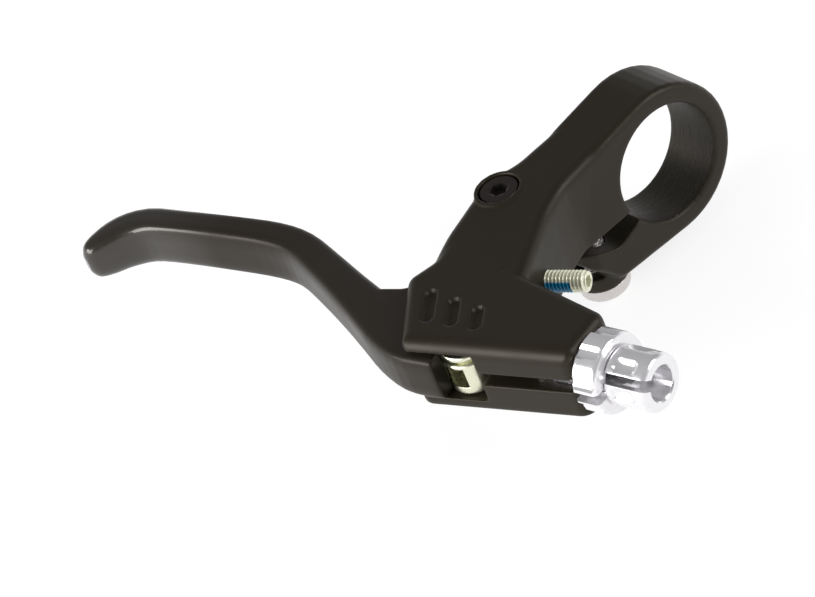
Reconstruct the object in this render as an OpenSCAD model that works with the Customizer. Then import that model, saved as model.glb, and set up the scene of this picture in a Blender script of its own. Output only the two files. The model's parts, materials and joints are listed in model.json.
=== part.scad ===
// Bicycle brake lever for flat handlebars: a cast bracket that clamps on the bar, a blade for
// two or three fingers, its pivot, the swivelling cable anchor, the barrel adjuster with its
// lock nut, and the reach screw.
// Origin: the centre of the handlebar bore. +X runs along the handlebar towards the barrel
// adjuster, -Y points from the handlebar to the blade, +Z is up along the lever pivot.

/* [Handlebar clamp] */
// Diameter of the handlebar that the clamp holds
bar_d = 22.2; // [21.8:0.1:22.6]
// Width of the clamp along the handlebar
clamp_w = 12.4; // [11.6:0.1:13.2]
// Wall of the clamp round the handlebar
clamp_wall = 3.8; // [3.5:0.1:4.2]
// Rounding of the clamp's edges
clamp_edge = 1.2; // [0.8:0.1:1.5]
// Depth of the lower lug below the handlebar's axis
lug_depth = 14; // [13.4:0.1:14.6]
// Reach of the lower lug in front of the handlebar's axis
lug_reach = 25; // [24:0.1:25.1]
// Gap between the lip of the lower lug and the neck
lip_gap = 0.7; // [0.4:0.1:1.2]
// Depth of the hollow in the lower lug behind its lip
lug_hollow = 4.2; // [3.4:0.1:4.8]

/* [Clamp bolt] */
// Thread diameter of the clamp bolt
clamp_bolt_d = 5; // [4:0.5:6]
// Distance of the clamp bolt in front of the handlebar's axis
clamp_bolt_y = 17.6; // [17:0.1:18.4]
// Diameter of the domed head
clamp_head_d = 9.6; // [8.8:0.1:10.4]
// Height of the domed head
clamp_head_h = 3.2; // [2.7:0.1:3.6]
// Height of the round boss that the head bears on
clamp_boss_h = 1.2; // [0.8:0.1:1.8]

/* [Bracket] */
// Height of the bracket between its flat top and its underside
body_h = 14.8; // [14:0.1:15.6]
// Underside of the bracket below the handlebar's axis
body_drop = 3.2; // [2.8:0.1:3.6]
// Thickness of the two jaws that hold the blade
jaw_t = 2.2; // [1.9:0.1:2.5]
// Rounding of the bracket's top edge
top_edge = 1.8; // [1.2:0.1:2.2]
// Rounding of the bracket's lower edge
low_edge = 0.9; // [0.6:0.1:1.2]
// Distance of the crease in the top face in front of the handlebar's axis
crease_y = 41.3; // [40.5:0.1:42]
// Rise of the top face from the crease to the neck, in degrees
neck_rise = 3.6; // [3.2:0.1:4]
// Draft of the neck's side walls, in degrees
draft = 1.6; // [0:0.1:2.5]
// Angle of the front face to the handlebar, in degrees
front_angle = 22; // [21:0.5:23]
// Distance of the front face from the handlebar's centre, square to that face
front_reach = 63.5; // [63:0.1:64]
// Rounding of the front face's upper edge
front_edge = 2.8; // [2.4:0.1:3.4]
// Height of the cable's slot in the front face
cable_slot_h = 2.7; // [2.2:0.1:3.2]
// Width of the three slots in the top face
mark_w = 2.2; // [1.8:0.1:2.6]
// Depth of the three slots in the top face
mark_deep = 0.8; // [0.4:0.1:1.2]
// Gap between the cable anchor and the pocket's right wall
anchor_gap = 0.3; // [0.2:0.05:0.5]

/* [Lever pivot] */
// Place of the pivot along the handlebar, measured from the clamp's middle
pivot_x = -4.3; // [-4.8:0.1:-3.8]
// Distance of the pivot in front of the handlebar's axis
pivot_y = 28.2; // [27.6:0.1:28.8]
// Thread diameter of the pivot bolt
pivot_d = 5; // [4.5:0.1:5.4]
// Diameter of the pivot bolt's head
pivot_head_d = 7.2; // [6.8:0.1:7.6]
// Height of the pivot bolt's head
pivot_head_h = 1.6; // [1.2:0.1:2]
// Radius of the raised boss round the pivot
boss_r = 4.4; // [4.2:0.1:4.8]
// Height of the boss above the sloping top face
boss_rise = 0.3; // [0.2:0.1:0.6]
// Wall of the bush in the blade
bush_wall = 0.9; // [0.7:0.1:1.2]
// Thickness of the thin nut under the pivot bolt
pivot_nut_h = 2.7; // [2.2:0.1:3.2]

/* [Blade] */
// Height of the blade
blade_h = 9.2; // [8.8:0.1:9.4]
// Height of the blade's middle above the handlebar's axis
blade_mid = 4; // [3.9:0.1:4.2]
// Radius of the blade's hub round the pivot
hub_r = 5.2; // [4.9:0.1:5.4]
// Width of the arm between the hub and the cable anchor
arm_w = 9.2; // [8.6:0.1:9.8]

/* [Cable anchor] */
// Distance of the anchor from the pivot
anchor_reach = 34.4; // [34.1:0.1:34.7]
// Direction from the pivot to the anchor, in degrees below the handlebar's line
anchor_dir = 56; // [55.6:0.1:56.4]
// Diameter of the anchor
anchor_d = 8.8; // [8.4:0.1:9]
// Diameter of the seat for the cable's nipple
nipple_d = 6.2; // [5.9:0.1:6.4]
// Width of the cable's slot in the anchor
anchor_slot = 2; // [1.8:0.1:2.4]

/* [Barrel adjuster] */
// Place of the lock nut's seat along the handlebar
barrel_x = 38.5; // [38:0.1:39]
// Distance of the lock nut's seat in front of the handlebar's axis
barrel_y = 47.4; // [47:0.1:47.8]
// Angle of the barrel to the handlebar, in degrees
barrel_angle = 12; // [11:0.5:13]
// Thread diameter of the barrel
barrel_d = 8; // [7.6:0.1:8.4]
// Length of the barrel's thread inside the bracket
barrel_in = 11; // [9:0.5:13]
// Diameter of the fluted head
barrel_head_d = 10.6; // [10.2:0.1:11.2]
// Length of the fluted head
barrel_head_l = 8.6; // [8:0.1:9.4]
// Diameter of the socket for the cable housing's end cap
socket_d = 6.2; // [6:0.1:6.6]
// Depth of that socket
socket_deep = 6.5; // [5.5:0.1:7]
// Diameter of the lock nut
lock_nut_d = 14.5; // [14:0.1:14.7]
// Thickness of the lock nut
lock_nut_h = 5.2; // [4.6:0.1:5.8]
// Width of the cable's slot in the barrel and the lock nut
barrel_slot = 2; // [1.6:0.1:2.4]
// Turn of the barrel's slot above the bracket's slot, in degrees
barrel_slot_turn = 35; // [0:5:60]
// Number of flutes round the barrel's head
flutes = 6; // [6:1:8]
// Number of scallops round the lock nut
scallops = 8; // [6:1:10]

/* [Reach screw] */
// Thread diameter of the reach screw
reach_d = 4; // [3.5:0.1:4.5]
// Length of the reach screw
reach_len = 13; // [12:0.5:14]
// Angle of the reach screw to the handlebar, in degrees
reach_angle = 27; // [25:0.5:29]
// Height of the reach screw's axis above the handlebar's axis
reach_z = 3.2; // [2.8:0.1:4.2]
// Distance of the screw's tip from the pivot, measured along the blade's arm
reach_at = 14.6; // [14:0.1:15.4]

/* [Fits] */
// Radial clearance of pins and threads in their holes
fit = 0.05; // [0.03:0.01:0.08]
// Play between flat faces that turn on each other
play = 0.08; // [0.05:0.01:0.12]
// Gap between the reach screw and the arm that it stops
stop_gap = 0.25; // [0.2:0.05:0.4]

/* [Hidden] */
$fn = 64;
// Room that a cutting tool runs past the face that it cuts
past = 1;
// Step between neighbouring flat faces of the bracket that would else coincide
skin = 0.06;
// Angle between neighbouring points on an arc of an outline
arc_step = 9;
// Steps in a rounded edge
edge_steps = 4;

bore_r = bar_d / 2;
ring_r = bore_r + clamp_wall;
body_z0 = -body_drop;
body_z1 = body_h - body_drop;
cable_z = body_z0 + body_h / 2;
bush_r = pivot_d / 2 + fit + bush_wall;
pocket_z0 = body_z0 + jaw_t;
pocket_z1 = body_z1 - jaw_t;
pivot = [pivot_x, -pivot_y];
boss_z = top_face(-pivot_y) + boss_rise;
blade_z0 = blade_mid - blade_h / 2;
blade_z1 = blade_mid + blade_h / 2;
anchor = pivot + anchor_reach * [cos(anchor_dir), -sin(anchor_dir)];
anchor_r = anchor_d / 2;
// Start of the front block along the front face: the anchor clears it
block_s0 = along(anchor) + anchor_r + anchor_gap;
seat = [barrel_x, -barrel_y];
barrel_dir = [cos(barrel_angle), sin(barrel_angle)];
barrel_rear = [-sin(barrel_angle), cos(barrel_angle)];
// Distance from the lock nut's seat back to the anchor, along the barrel
cable_run = (seat - anchor) * barrel_dir;
barrel_r = barrel_d / 2;

// Height of the sloping top face at a distance y
function top_face(y) = body_z1 + (y + crease_y) * tan(neck_rise);
// Plan point at s along the front face and q in front of the handlebar, square to that face
function at(s, q) = [
    s * cos(front_angle) + q * sin(front_angle),
    s * sin(front_angle) - q * cos(front_angle)
];
// Distance of a plan point along the front face, and in front of the handlebar
function along(p) = p.x * cos(front_angle) + p.y * sin(front_angle);
function ahead(p) = p.x * sin(front_angle) - p.y * cos(front_angle);
function unit(v) = v / norm(v);
function turn(a) = a > 180 ? a - 360 : a < -180 ? a + 360 : a;
// Points of an arc from angle a0 to a1
function arc(c, r, a0, a1) =
    let (n = max(2, ceil(abs(a1 - a0) / arc_step)))
    [for (i = [0:n]) c + r * [cos(a0 + (a1 - a0) * i / n), sin(a0 + (a1 - a0) * i / n)]];
// The corner b between a and c, rounded with radius r
function corner(a, b, c, r) = r == 0 ? [b] :
    let (
        u = unit(a - b),
        v = unit(c - b),
        half = acos(u * v) / 2,
        centre = b + unit(u + v) * r / sin(half),
        p0 = b + u * r / tan(half) - centre,
        p1 = b + v * r / tan(half) - centre,
        a0 = atan2(p0.y, p0.x)
    )
    arc(centre, r, a0, a0 + turn(atan2(p1.y, p1.x) - a0));
// Outline through corners given as [x, y, radius]
function outline(k) = let (n = len(k)) [
    for (i = [0:n - 1])
        let (a = k[(i + n - 1) % n], b = k[i], c = k[(i + 1) % n])
        each corner([a.x, a.y], [b.x, b.y], [c.x, c.y], b.z)
];
// Points taken into an outline as they are
function plain(p) = [for (v = p) [v.x, v.y, 0]];
// An anticlockwise outline moved inwards by d
function inset(p, d) = let (n = len(p)) [
    for (i = [0:n - 1])
        let (
            e0 = unit(p[i] - p[(i + n - 1) % n]),
            e1 = unit(p[(i + 1) % n] - p[i]),
            n0 = [-e0.y, e0.x],
            n1 = [-e1.y, e1.x],
            m = unit(n0 + n1)
        )
        p[i] + m * d / (m * n0)
];

// Solid of an outline between two heights, with rounded edges; its top face may rise along y
module rounded_slab(plan, z0, z1, r0, r1, rise = 0, rise_y = 0, lean = 0) {
    n = len(plan);
    low = [for (i = [0:edge_steps]) let (a = 90 * i / edge_steps)
        [r0 * (1 - sin(a)), z0 + r0 * (1 - cos(a)), 0]];
    top = [for (i = [0:edge_steps]) let (a = 90 * i / edge_steps)
        [r1 * (1 - cos(a)), z1 - r1 * (1 - sin(a)), 1]];
    rows = concat(low, top);
    points = [
        for (row = rows)
            each [
                for (p = inset(plan, row[0] + (1 - row[2]) * (z1 - z0) * tan(lean)))
                    [p.x, p.y, row[1] + row[2] * (p.y - rise_y) * tan(rise)]
            ]
    ];
    sides = [
        for (k = [0:len(rows) - 2])
            for (i = [0:n - 1])
                let (j = (i + 1) % n)
                each [
                    [k * n + i, (k + 1) * n + i, (k + 1) * n + j],
                    [k * n + i, (k + 1) * n + j, k * n + j]
                ]
    ];
    last = (len(rows) - 1) * n;
    polyhedron(points, concat([[for (i = [0:n - 1]) i]], sides, [[for (i = [n - 1:-1:0]) last + i]]));
}

// Places its children with Z along the barrel, its origin at the lock nut's seat
module on_barrel() {
    translate([seat.x, seat.y, cable_z])
        rotate([0, 0, barrel_angle])
            rotate([0, 90, 0]) children();
}

// Outline of clamp, lower lug and neck in the plane across the handlebar
clamp_side = let (
    top_a = 98,
    heel = [-clamp_bolt_y + 0.3, -lug_depth],
    low_a = atan2(heel.y, heel.x) + acos(ring_r / norm(heel))
) outline(concat(
    plain(arc([0, 0], ring_r, low_a, top_a)),
    [
        [-12, top_face(-12) - 0.05, 20],
        [-17, top_face(-17) - 0.8, 0],
        [-lug_reach + 1.5, top_face(-lug_reach) - 2.5, 0],
        [-lug_reach + 0.2, body_z0 - 0.2, 0],
        [-lug_reach, body_z0 - lip_gap - 0.6, 1.3],
        [-lug_reach + 2.4, -lug_depth + 6.4, 5],
        [heel.x, heel.y, 3]
    ]
));

module clamp_form() {
    translate([-clamp_w / 2, 0, 0])
        rotate([90, 0, 90])
            rounded_slab(clamp_side, 0, clamp_w, clamp_edge, clamp_edge);
}

// Plan of the neck: it grows out of the clamp, bulges round the pivot and flares to the right
neck_w = clamp_w / 2 - 0.5;
neck_plan = outline(concat(
    [[neck_w, -5, 0], [-neck_w, -5, 0], [-neck_w - 0.9, -pivot_y + 6.6, 9]],
    plain(arc(pivot, boss_r + 0.2, 145, 215)),
    [
        [-5.1, -41.5, 20],
        [-2.4, -47.3, 0],
        [4, -50, 0],
        [19, -50, 0],
        [21, -44.6, 0],
        [17, -42.2, 4],
        [9, -28.4, 14],
        [neck_w + 0.9, -22, 12]
    ]
));

module neck_form() {
    rounded_slab(neck_plan, body_z0 + skin, body_z1, low_edge, top_edge, neck_rise, -crease_y, draft);
}

// Plan of the front block and the jaws' front half; its right end is square to the barrel
front_plan = let (
    left = at(block_s0 - 13.5, front_reach),
    right = seat + barrel_rear * (front_reach - ahead(seat)) / ahead(barrel_rear),
    rear_y = crease_y - 2 * skin,
    rear = seat + barrel_rear * (barrel_y - rear_y) / barrel_rear.y
) outline([
    [left.x, left.y, top_edge + 0.7],
    [right.x, right.y, top_edge + 1.2],
    [rear.x, rear.y, top_edge + 0.6],
    [13, -rear_y, 0],
    [12, -37.5, 0],
    [-4, -37.5, 0],
    [-4, -42, 0],
    [-2.2, -46.4, 4],
    [-3.3, -52.4, top_edge + 0.7]
]);

module front_form() {
    rounded_slab(front_plan, body_z0, body_z1, low_edge, top_edge);
}

// Rounds the front face's upper edge more than the other edges
module front_edge_cut() {
    reach = 40;
    rotate([0, 0, front_angle])
        translate([-reach, -front_reach, body_z1 - front_edge])
            difference() {
                translate([0, -past, 0]) cube([2 * reach, front_edge + past, front_edge + past]);
                translate([-past, front_edge, 0])
                    rotate([0, 90, 0]) cylinder(h = 2 * (reach + past), r = front_edge);
            }
}

module pivot_boss() {
    fillet = 0.8 * boss_rise;
    translate([pivot.x, pivot.y, 0])
        rotate_extrude()
            polygon(concat(
                [[0, body_z1 - 1], [boss_r + fillet, body_z1 - 1]],
                [[boss_r + fillet, boss_z - boss_rise - 0.2]],
                [for (a = [0:15:90]) [boss_r + fillet * (1 - sin(a)), boss_z - fillet * cos(a)]],
                [[0, boss_z]]
            ));
}

module clamp_boss() {
    translate([0, -clamp_bolt_y, -lug_depth - clamp_boss_h])
        cylinder(h = clamp_boss_h + 2, r = clamp_head_d / 2 + 0.3);
}

module bar_bore() {
    chamfer = 0.5;
    rotate([0, 90, 0]) {
        cylinder(h = clamp_w + 2 * past, r = bore_r, center = true, $fn = 96);
        for (m = [0, 1])
            mirror([0, 0, m])
                translate([0, 0, clamp_w / 2 - chamfer])
                    cylinder(h = chamfer + 0.01, r1 = bore_r, r2 = bore_r + chamfer, $fn = 96);
    }
}

// The gap under the neck, closed at its front by the lip of the lower lug
module clamp_slit() {
    lift = 0.3;
    gap = outline([
        [-7, body_z0 + lift, 0],
        [-lug_reach - 4, body_z0 + lift, 0],
        [-lug_reach - 4, body_z0 - lip_gap, 0],
        [-lug_reach + 1, body_z0 - lip_gap, 1.2],
        [-15.6, body_z0 - lug_hollow - 0.2, 3.5],
        [-9, body_z0 - lug_hollow + 2, 0],
        [-7, body_z0 - lug_hollow + 1.4, 0]
    ]);
    translate([-clamp_w / 2 - past, 0, 0])
        rotate([90, 0, 90])
            linear_extrude(clamp_w + 2 * past) polygon(gap);
}

// Rounds the end of the lower lug in plan
module lug_end_cut() {
    r = clamp_w / 2 + 0.4;
    y = lug_reach - r;
    translate([0, -y, -lug_depth - clamp_boss_h - past])
        difference() {
            translate([-clamp_w, -2 * r, 0])
                cube([2 * clamp_w, 2 * r, lug_depth + clamp_boss_h + past - body_drop + 0.1]);
            translate([0, 0, -past]) cylinder(h = lug_depth + clamp_boss_h + 3 * past, r = r);
        }
}

// The clamp with its slit and its lower lug; the neck's underside closes the slit's upper side
module clamp_part() {
    difference() {
        union() {
            clamp_form();
            clamp_boss();
        }
        clamp_slit();
        lug_end_cut();
    }
}

module clamp_bolt_holes() {
    top = 6;
    translate([0, -clamp_bolt_y, 0]) {
        translate([0, 0, body_z0 - past]) cylinder(h = top - body_z0 + past, r = clamp_bolt_d / 2 + fit);
        translate([0, 0, -lug_depth - clamp_boss_h - past])
            cylinder(h = lug_depth + clamp_boss_h + past - body_drop - lip_gap, r = clamp_bolt_d / 2 + 0.25);
    }
}

// The space between the jaws, open to the front and to the left
module jaw_pocket() {
    room = 0.7;
    stop = at(block_s0, front_reach - 15.3);
    front = at(block_s0, front_reach + past);
    plan = concat(
        [
            [front.x, front.y],
            [stop.x, stop.y],
            [10.2, -38.6],
            [5.4, -31]
        ],
        arc(pivot, hub_r + room, 0, 118),
        [[-16, -22.5], [-16, -70]],
        [[front.x, -70]]
    );
    translate([0, 0, pocket_z0]) linear_extrude(pocket_z1 - pocket_z0) polygon(plan);
}

module pivot_holes() {
    translate([pivot.x, pivot.y, 0]) {
        translate([0, 0, body_z0 - past]) cylinder(h = body_h + 4, r = pivot_d / 2 + fit);
        translate([0, 0, boss_z - pivot_head_h - 0.35])
            cylinder(h = pivot_head_h + 3, r = pivot_head_d / 2 + 0.3);
    }
}

// The slot that lets the cable in from the front, and the bore that carries it to the barrel
module cable_slot() {
    slot_deep = 14;
    thread_room = 1.5;
    on_barrel() {
        translate([-cable_slot_h / 2, -slot_deep, -cable_run])
            cube([cable_slot_h, slot_deep, cable_run + past]);
        translate([0, 0, -cable_run]) cylinder(h = cable_run + past, r = cable_slot_h / 2);
        translate([0, 0, -barrel_in - thread_room])
            cylinder(h = barrel_in + thread_room + past, r = barrel_r + fit);
    }
}

// Line of the reach screw: its tip meets the right side of the blade's arm
arm_dir = [cos(anchor_dir), -sin(anchor_dir)];
arm_side = [sin(anchor_dir), cos(anchor_dir)];
reach_tip = pivot + reach_at * arm_dir + (arm_w / 2 + stop_gap) * arm_side;

module on_reach() {
    translate([reach_tip.x, reach_tip.y, reach_z])
        rotate([0, 0, reach_angle])
            rotate([0, 90, 0]) children();
}

// Three round-ended slots of decreasing length in the flat top face
mark_ends = [
    [[3.4, -52.2], [9.1, -58.6]],
    [[9.1, -51.7], [14, -57.2]],
    [[14.8, -51.1], [18.8, -55.7]]
];

module mark_slots() {
    for (m = mark_ends) {
        d = unit(m[1] - m[0]);
        a = atan2(d.y, d.x);
        long = norm(m[1] - m[0]) - mark_w;
        translate([m[0].x, m[0].y, body_z1 - mark_deep])
            rotate([0, 0, a]) {
                translate([mark_w / 2, 0, 0]) cylinder(h = mark_deep + past, r = mark_w / 2);
                translate([mark_w / 2 + long, 0, 0]) cylinder(h = mark_deep + past, r = mark_w / 2);
                translate([mark_w / 2, -mark_w / 2, 0]) cube([long, mark_w, mark_deep + past]);
            }
    }
}

// The casting before its round holes are cut, joined into one closed skin
module bracket_casting() {
    resize([0, 0, 0])
        difference() {
            union() {
                clamp_part();
                neck_form();
                difference() {
                    front_form();
                    front_edge_cut();
                }
                pivot_boss();
            }
            jaw_pocket();
            mark_slots();
        }
}

module lever_bracket() {
    color("#2d2a27")
        difference() {
            bracket_casting();
            bar_bore();
            clamp_bolt_holes();
            pivot_holes();
            cable_slot();
            on_reach() translate([0, 0, -past]) cylinder(h = 20, r = reach_d / 2 + fit);
        }
}

// Stations of the blade from its tip to its root:
// [x, y, width, height factor, squareness, drop of the middle]
blade_line = [
    [-74.0, -75.2, 1.7, 0.4, 2.4, 0.2],
    [-73.8, -74.2, 4.0, 0.78, 2.6, 0.2],
    [-73.2, -71.5, 5.6, 0.95, 3.0, 0.2],
    [-71.8, -67.2, 6.8, 1.03, 3.4, 0.2],
    [-68.3, -63.4, 6.8, 1.04, 4.0, 0.2],
    [-61.5, -60.7, 6.2, 1.04, 4.6, 0.2],
    [-50.0, -56.8, 6.2, 1.06, 5, 0.3],
    [-41.0, -54.1, 6.4, 1.07, 5, 0.4],
    [-34.0, -53.4, 6.5, 1.06, 5, 0.4],
    [-25.5, -54.9, 6.9, 1.04, 5, 0.3],
    [-16.0, -57.0, 7.6, 1.02, 5, 0.1],
    [-7.6, -58.9, 8.6, 1, 5.4, 0],
    [0.0, -60.9, 9.0, 1, 6, 0],
    [6.4, -62.0, 8.4, 1, 6, 0],
    [11.6, -61.6, 6.8, 1, 6, 0],
    [13.3, -61.2, 6.2, 0.98, 6, 0]
];
// Sections between two stations, and points round each section
blade_steps = 3;
section_points = 24;

// Smooth curve through four values, t of the way from b to c
function through(a, b, c, d, t) =
    b + 0.5 * t * (c - a + t * (2 * a - 5 * b + 4 * c - d + t * (3 * (b - c) + d - a)));
function signed_pow(v, e) = sign(v) * pow(abs(v), e);

blade_rows = let (n = len(blade_line)) [
    for (i = [0:n - 2])
        for (k = [0:blade_steps - (i == n - 2 ? 0 : 1)])
            through(
                blade_line[max(i - 1, 0)], blade_line[i], blade_line[i + 1],
                blade_line[min(i + 2, n - 1)], k / blade_steps
            )
];

// The blade: superellipse sections square to its line, swept from the tip to the root
module blade_form() {
    rows = blade_rows;
    n = len(rows);
    m = section_points;
    points = [
        for (i = [0:n - 1])
            let (
                row = rows[i],
                a = rows[max(i - 1, 0)],
                b = rows[min(i + 1, n - 1)],
                d = unit([b.x - a.x, b.y - a.y]),
                side = [-d.y, d.x]
            )
            each [
                for (j = [0:m - 1])
                    let (
                        t = 360 * (j + 0.5) / m,
                        u = signed_pow(cos(t), 2 / row[4]) * row.z / 2,
                        v = signed_pow(sin(t), 2 / row[4]) * row[3] * blade_h / 2
                    )
                    [row.x + side.x * u, row.y + side.y * u, blade_mid - row[5] + v]
            ]
    ];
    sides = [
        for (i = [0:n - 2])
            for (j = [0:m - 1])
                let (k = (j + 1) % m)
                each [
                    [i * m + j, (i + 1) * m + j, (i + 1) * m + k],
                    [i * m + j, (i + 1) * m + k, i * m + k]
                ]
    ];
    last = (n - 1) * m;
    polyhedron(points, concat([[for (j = [0:m - 1]) j]], sides, [[for (j = [m - 1:-1:0]) last + j]]));
}

// Step between the faces of the arm and of the hub
arm_sink = 0.15;
// Plan of the arm that joins the blade's root to the hub
arm_plan = let (
    a = pivot + arm_w / 2 * arm_side,
    b = pivot + 27.5 * arm_dir + arm_w / 2 * arm_side,
    c = anchor + [1.9, 3.9]
) outline([
    [a.x, a.y, 0],
    [pivot.x + 0.6, pivot.y + 3, 0],
    [pivot.x - 3, pivot.y + 0.6, 0],
    [-3.6, -51.6, 4],
    [-9.8, -54.8, 0],
    [-9.8, -57, 0],
    [-4, -60, 0],
    [10, -62.5, 0],
    [13.4, -60, 0],
    [c.x, c.y, 0.9],
    [b.x, b.y, 3]
]);

module lever_blade() {
    color("#34312d")
        difference() {
            union() {
                blade_form();
                // The arm and the hub, joined into one closed skin
                resize([0, 0, 0])
                    union() {
                        rounded_slab(arm_plan, blade_z0 + arm_sink, blade_z1 - arm_sink, 0.6, 0.6);
                        translate([pivot.x, pivot.y, blade_z0]) cylinder(h = blade_h, r = hub_r);
                    }
            }
            translate([pivot.x, pivot.y, blade_z0 - past]) cylinder(h = blade_h + 2 * past, r = bush_r + 0.02);
            translate([anchor.x, anchor.y, blade_z0 - past])
                cylinder(h = blade_h + 2 * past, r = anchor_r + fit);
        }
}

module ring(r_out, r_in, z0, z1) {
    translate([pivot.x, pivot.y, z0])
        difference() {
            cylinder(h = z1 - z0, r = r_out);
            translate([0, 0, -past]) cylinder(h = z1 - z0 + 2 * past, r = r_in);
        }
}

module pivot_bush() {
    color("#8d8a80") ring(bush_r, pivot_d / 2 + fit, blade_z0, blade_z1);
}

module lower_pivot_washer() {
    color("#b7b4ab") ring(hub_r - 0.4, pivot_d / 2 + fit, pocket_z0, blade_z0 - play);
}

module upper_pivot_washer() {
    color("#b7b4ab") ring(hub_r - 0.4, pivot_d / 2 + fit, blade_z1 + play, pocket_z1);
}

// Bolt with a low round head and a hexagon socket
module pivot_bolt() {
    socket = 3;
    head_z = boss_z - pivot_head_h - 0.35;
    color("#1d1c1b")
        translate([pivot.x, pivot.y, 0])
            difference() {
                union() {
                    translate([0, 0, body_z0 - pivot_nut_h - 0.8])
                        cylinder(h = head_z - body_z0 + pivot_nut_h + 0.9, r = pivot_d / 2);
                    translate([0, 0, head_z])
                        rotate_extrude()
                            polygon([
                                [0, 0], [pivot_head_d / 2, 0], [pivot_head_d / 2, pivot_head_h - 0.4],
                                [pivot_head_d / 2 - 0.4, pivot_head_h], [0, pivot_head_h]
                            ]);
                }
                translate([0, 0, head_z + 0.2])
                    cylinder(h = pivot_head_h + past, d = socket / cos(30), $fn = 6);
            }
}

// Thin nut, turned so that one of its flats faces the clamp's lower lug
module pivot_nut() {
    flats = 8;
    color("#c9c7c0")
        translate([pivot.x, pivot.y, body_z0 - pivot_nut_h])
            difference() {
                intersection() {
                    rotate([0, 0, 30]) cylinder(h = pivot_nut_h, d = flats / cos(30), $fn = 6);
                    rotate_extrude()
                        polygon([
                            [0, 0], [flats / 2, 0], [flats / 2 + 0.7, 0.5],
                            [flats / 2 + 0.7, pivot_nut_h], [0, pivot_nut_h]
                        ]);
                }
                translate([0, 0, -past]) cylinder(h = pivot_nut_h + 2 * past, r = pivot_d / 2 + fit);
            }
}

// Turned swivel with a groove, a seat for the cable's nipple and a slot for the cable
module cable_anchor() {
    z0 = pocket_z0 + play;
    z1 = blade_z1;
    groove_z = z1 - 2.5;
    groove = 0.9;
    nipple_z = cable_z + 2;
    color("#cfc488")
        difference() {
            translate([anchor.x, anchor.y, 0])
                rotate_extrude()
                    polygon([
                        [0, z0], [anchor_r - 0.7, z0], [anchor_r, z0 + 0.7],
                        [anchor_r, groove_z - 0.6], [anchor_r - 0.6, groove_z],
                        [anchor_r - 1.5, groove_z], [anchor_r - 1.5, groove_z + groove],
                        [anchor_r, groove_z + groove + 0.2], [anchor_r, z1 - 0.3],
                        [anchor_r - 0.3, z1], [0, z1]
                    ]);
            translate([anchor.x, anchor.y, z0 - past])
                cylinder(h = nipple_z - groove - z0 + past, r = nipple_d / 2);
            translate([anchor.x, anchor.y, z0 - past])
                rotate([0, 0, front_angle])
                    translate([0, -anchor_slot / 2, 0])
                        cube([anchor_r + past, anchor_slot, cable_z + 1 - z0 + past]);
        }
}

// Hollow screw with a fluted head, slotted along its length
module barrel_adjuster() {
    head_s = lock_nut_h + 0.2;
    neck_l = 1;
    nose_l = 1.9;
    flute_r = 1.5;
    color("#d5d8db")
        on_barrel()
            difference() {
                union() {
                    translate([0, 0, -barrel_in]) cylinder(h = barrel_in + head_s + neck_l, r = barrel_r);
                    translate([0, 0, head_s])
                        rotate_extrude()
                            polygon([
                                [0, 0], [barrel_head_d / 2 - 0.6, 0], [barrel_head_d / 2, 0.6],
                                [barrel_head_d / 2, barrel_head_l - 1.6],
                                [barrel_head_d / 2 - 0.5, barrel_head_l - 0.6],
                                [barrel_head_d / 2 - 1.2, barrel_head_l], [0, barrel_head_l]
                            ]);
                }
                for (i = [0:flutes - 1])
                    rotate([0, 0, i * 360 / flutes])
                        translate([barrel_head_d / 2 + 0.75, 0, head_s + neck_l])
                            cylinder(h = barrel_head_l - neck_l - nose_l, r = flute_r);
                translate([0, 0, -barrel_in - past])
                    cylinder(h = barrel_in + head_s + barrel_head_l + 2 * past, r = 1.3);
                translate([0, 0, head_s + barrel_head_l - socket_deep])
                    cylinder(h = socket_deep + past, r = socket_d / 2);
                rotate([0, 0, -90 - barrel_slot_turn])
                    translate([0, -barrel_slot / 2, -barrel_in - past])
                        cube([barrel_head_d, barrel_slot, barrel_in + head_s + barrel_head_l + 2 * past]);
            }
}

module lock_nut() {
    edge = 0.6;
    r = lock_nut_d / 2;
    color("#d5d8db")
        on_barrel()
            translate([0, 0, play]) difference() {
                rotate_extrude()
                    polygon([
                        [0, 0], [r - edge, 0], [r, edge], [r, lock_nut_h - edge],
                        [r - edge, lock_nut_h], [0, lock_nut_h]
                    ]);
                for (i = [0:scallops - 1])
                    rotate([0, 0, (i + 0.5) * 360 / scallops])
                        translate([r + 1.1, 0, -past]) cylinder(h = lock_nut_h + 2 * past, r = 1.8);
                translate([0, 0, -past]) cylinder(h = lock_nut_h + 2 * past, r = barrel_r + fit);
                rotate([0, 0, -90])
                    translate([0, -barrel_slot / 2, -past])
                        cube([r + past, barrel_slot, lock_nut_h + 2 * past]);
            }
}

// Grub screw with a cone at its tip and a hexagon socket at its outer end
module reach_screw() {
    socket = 2;
    cone = 0.8;
    color("#c8c9b4")
        on_reach()
            difference() {
                rotate_extrude()
                    polygon([
                        [0, 0], [reach_d / 2 - cone, 0], [reach_d / 2, cone],
                        [reach_d / 2, reach_len - 0.4], [reach_d / 2 - 0.4, reach_len], [0, reach_len]
                    ]);
                translate([0, 0, reach_len - 2.2]) cylinder(h = 2.2 + past, d = socket / cos(30), $fn = 6);
            }
}

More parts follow.
